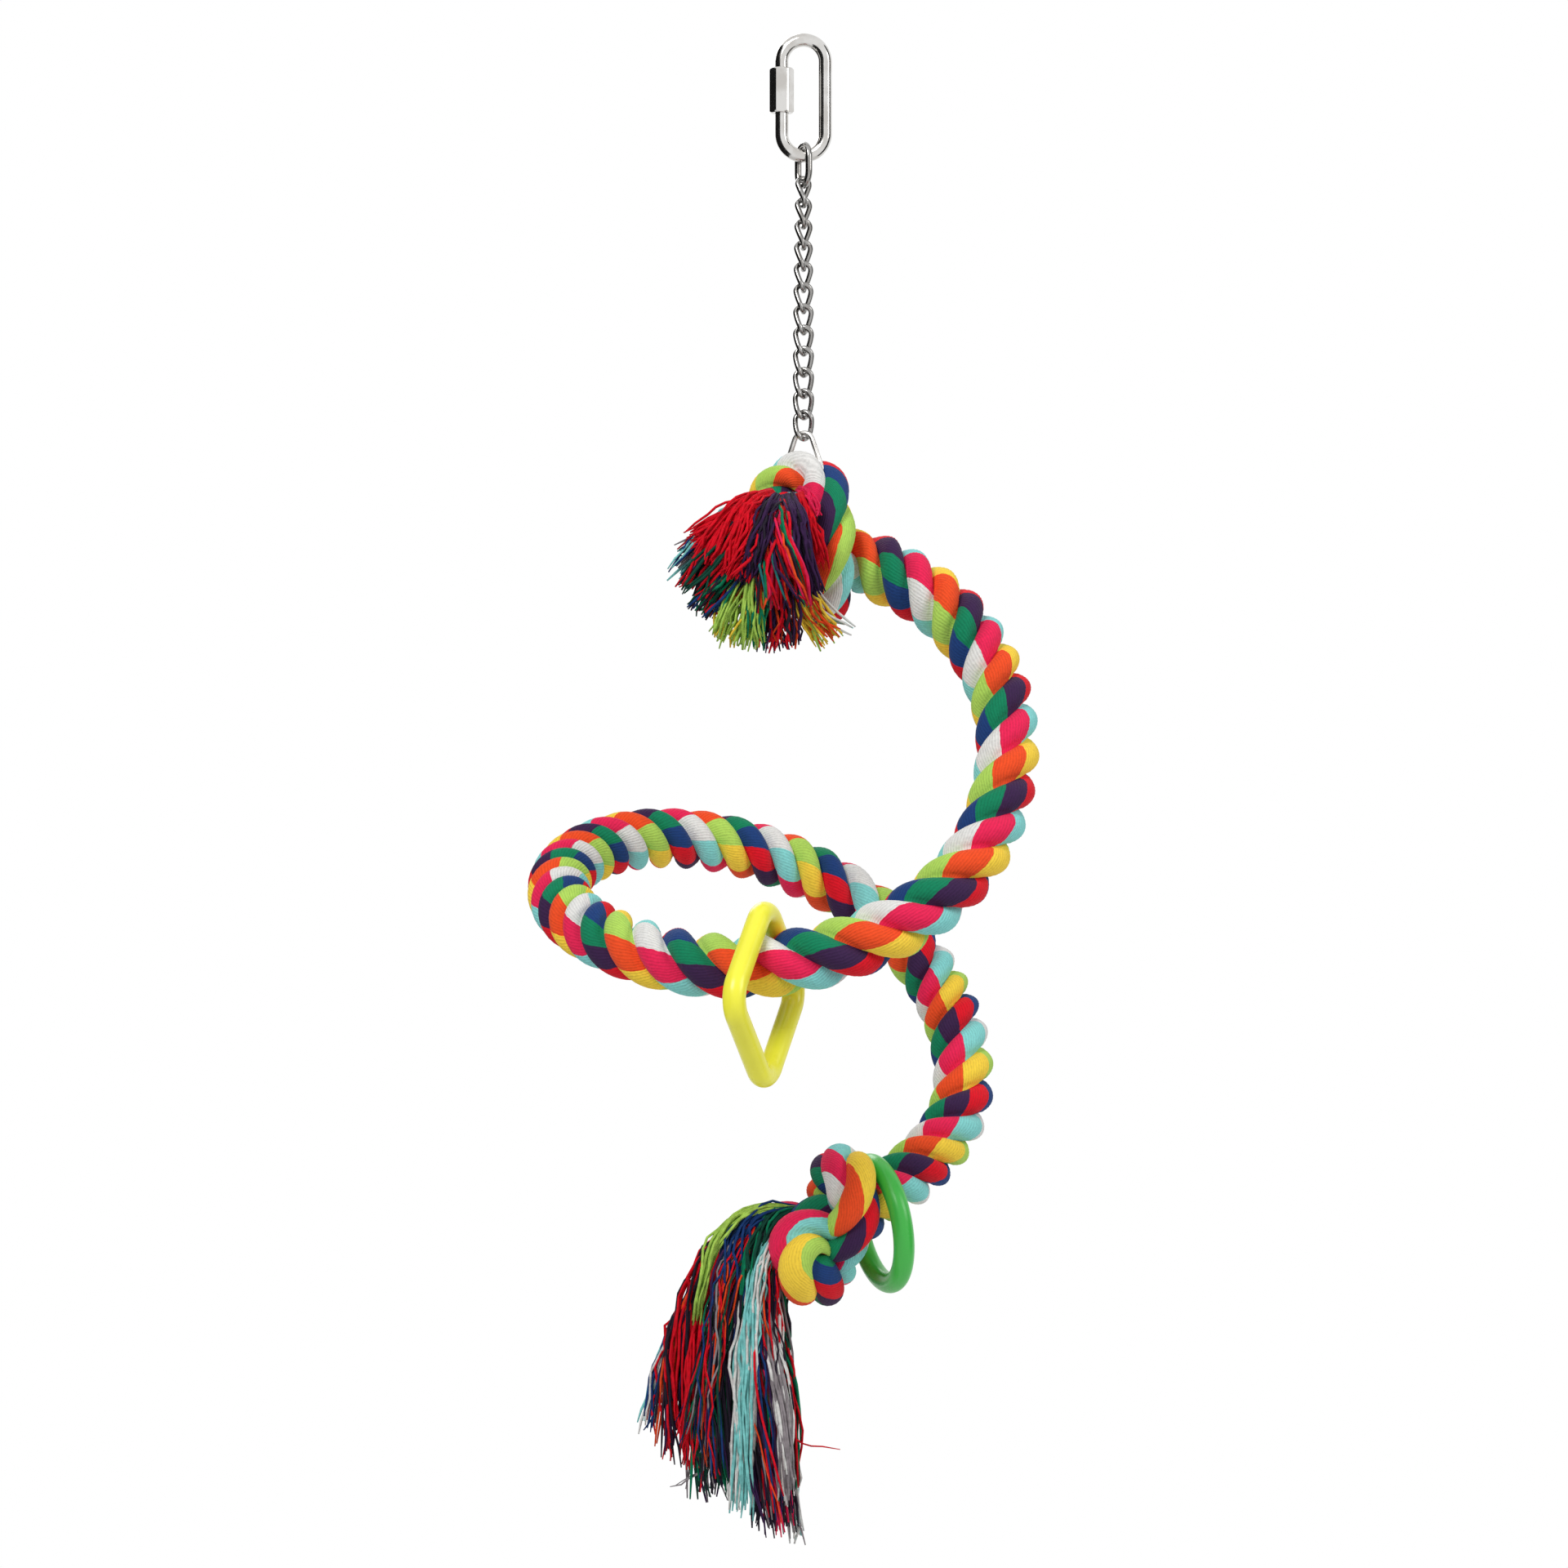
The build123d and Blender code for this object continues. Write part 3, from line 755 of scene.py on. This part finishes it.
# Lower tassel, long and hanging: twisted locks, thin mixed yarns over them, and three stray yarns
LOW_LOCKS = [
    (["lime"], 18,
     [(985, 1482, 10, 1.6), (930, 1479, 5, 1.6), (888, 1503, 0, 1.8), (864, 1556, -3, 1.6),
      (852, 1632, 3, 1.4)]),
    (["blue"], 40,
     [(990, 1484, 10, 2.5), (934, 1488, 6, 4), (902, 1518, 1, 5.5), (892, 1572, -1, 4.5),
      (888, 1650, 14, 4)]),
    (["green", "forest"], 30,
     [(988, 1482, 8, 2.5), (950, 1492, 3, 3), (924, 1526, -2, 3.5), (910, 1580, -3, 3.5), (898, 1665, 0, 4)]),
    (["red", "red", "purple", "black"], 46,
     [(980, 1486, 14, 3), (902, 1508, 14, 4.5), (859, 1562, 10, 4.5), (833, 1660, 8, 6.5),
      (828, 1792, 8, 6)]),
    (["red", "red", "black"], 54,
     [(975, 1488, 12, 3), (907, 1514, 10, 4.5), (878, 1584, 5, 5), (855, 1672, 2, 5), (848, 1800, 2, 5)]),
    (["forest", "green", "black"], 58,
     [(975, 1490, 10, 3), (920, 1522, 4, 5.5), (890, 1602, 2, 7), (875, 1702, 0, 7.5), (872, 1832, 0, 8)]),
    (["black", "purple", "forest"], 60,
     [(978, 1490, 8, 3), (929, 1520, 2, 5), (904, 1602, 0, 6), (893, 1702, -1, 6.5), (890, 1834, -1, 6.5)]),
    (["sky", "sky", "white"], 38,
     [(985, 1494, 6, 2), (950, 1522, -2, 3), (928, 1565, -5, 3.5), (917, 1645, -7, 4), (911, 1745, -7, 4),
      (908, 1858, -6, 4.5)]),
    (["white", "white", "sky"], 22,
     [(985, 1494, 8, 2), (940, 1536, 0, 2.5), (916, 1604, -4, 2.5), (906, 1684, -6, 3), (904, 1765, -5, 3),
      (900, 1856, -4, 3)]),
    (["red", "grey", "purple", "black", "pink"], 54,
     [(985, 1494, 8, 3), (949, 1536, 2, 5), (935, 1624, -2, 5), (940, 1724, -2, 5.5), (954, 1880, -1, 7)]),
    (["grey", "grey", "white"], 36,
     [(985, 1496, 10, 2), (949, 1546, 3, 3), (947, 1634, -4, 3), (958, 1724, -8, 3), (964, 1846, -8, 3.4)]),
    (["forest", "red", "grey", "green", "black"], 46,
     [(985, 1496, 12, 3), (951, 1546, 8, 4), (954, 1644, 6, 4.5), (961, 1724, 5, 5), (965, 1876, 5, 6)]),
    (["purple", "black"], 38,
     [(980, 1496, 8, 2), (934, 1566, 2, 3), (923, 1664, -2, 4), (930, 1764, -3, 5.5), (937, 1878, -2, 5.5)]),
    (["white", "grey", "white", "sky"], 28,
     [(985, 1498, 12, 2), (950, 1566, 10, 3), (952, 1684, 8, 3.5), (965, 1784, 6, 3.5), (980, 1892, 5, 3.5)]),
    (["sky", "white", "blue", "red"], 26,
     [(978, 1488, 16, 3), (896, 1516, 18, 4), (847, 1594, 16, 3.5), (811, 1672, 14, 3.5),
      (791, 1758, 14, 3.5)]),
    (["orange", "red", "yellow", "black"], 16,
     [(978, 1488, 15, 2), (896, 1512, 14, 3.5), (852, 1578, 10, 3), (826, 1648, 8, 3.5), (816, 1782, 8, 5)]),
    (["black", "red", "forest", "purple", "grey"], 76,
     [(978, 1492, 18, 4), (917, 1528, 22, 10), (892, 1604, 24, 13), (884, 1704, 24, 16),
      (888, 1832, 24, 17)]),
]
MIXED_COLOURS = [
    "red", "black", "forest", "grey", "orange", "green", "purple", "blue", "black", "red", "black", "grey",
]
MIXED_COUNT = 24
MIXED_LINES = [
    [(925, 1502, 2, 3), (892, 1560, -3, 5), (868, 1660, -5, 7), (842, 1786, -4, 8)],
    [(952, 1514, 2, 3), (938, 1590, -5, 4), (944, 1700, -7, 6), (960, 1864, -6, 7)],
    [(935, 1507, 2, 3), (896, 1580, -4, 4), (876, 1690, -5, 5), (870, 1822, -4, 7)],
]
STRAY_LOCKS = [
    (["grey"], 2, [(880, 1740, 0, 1), (868, 1790, 0, 1), (846, 1808, 0, 1), (822, 1816, 0, 1)]),
    (["red"], 1, [(962, 1690, 2, 1), (972, 1745, 2, 1), (988, 1768, 2, 0.5), (1030, 1770, 2, 0.5)]),
]
low_yarns = []
for colours, count, line in LOW_LOCKS:
    low_yarns += lock(colours, count, line, flat=0.8, ragged=0.075, stray=0.8, turns=(3.0, 5.5))
for line in MIXED_LINES:
    low_yarns += lock(MIXED_COLOURS, MIXED_COUNT, line, stray=1.2, thick=(0.36, 0.5), turns=(2.5, 4.5))
for colours, count, line in STRAY_LOCKS:
    low_yarns += lock(colours, count, line, ragged=0.01, thick=(0.3, 0.36))
tassel("bottom_yarns", "bottom_tassel", low_yarns)


# Steel and plastic
def steel(name, tint, rough):
    """Plated steel, a little tarnished, with a fine grain in its polish."""
    made, nodes, shader = material(name)
    shader.inputs["Metallic"].default_value = 1.0
    dark = (tint * 0.80, tint * 0.77, tint * 0.73, 1)
    light = (tint, tint * 0.985, tint * 0.96, 1)
    link(two_tones(nodes, noise(nodes, 150, 3), dark, light, 0.35, 0.6), shader.inputs["Base Color"])
    link(mapped(nodes, noise(nodes, 1800, 3), rough * 0.7, rough * 1.4), shader.inputs["Roughness"])
    return made


def plastic(name, colour, rough):
    """Moulded plastic, a little uneven in colour and gloss."""
    made, nodes, shader = material(name)
    grain = noise(nodes, 60, 3)
    dark = (*(c * 0.93 for c in colour), 1)
    link(two_tones(nodes, grain, dark, (*colour, 1), 0.3, 0.7), shader.inputs["Base Color"])
    link(mapped(nodes, grain, rough * 0.8, rough * 1.3), shader.inputs["Roughness"])
    shader.inputs["IOR"].default_value = 1.48
    return made


bright_steel = steel("bright_steel", 0.70, 0.13)
chain_steel = steel("chain_steel", 0.38, 0.18)
FINISHES = {
    "quick_link": bright_steel,
    "quick_link_sleeve": bright_steel,
    "connecting_link": chain_steel,
    "hanger_ring": steel("ring_steel", 0.72, 0.34),
    "wire_core": steel("dull_wire", 0.42, 0.4),
    "yellow_ring": plastic("yellow_plastic", (1.0, 0.96, 0.06), 0.26),
    "green_ring": plastic("green_plastic", (0.06, 0.55, 0.075), 0.28),
}
for name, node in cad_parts.items():
    finish = chain_steel if name.startswith("chain_link") else FINISHES.get(name)
    if finish:
        node.data.materials.clear()
        node.data.materials.append(finish)
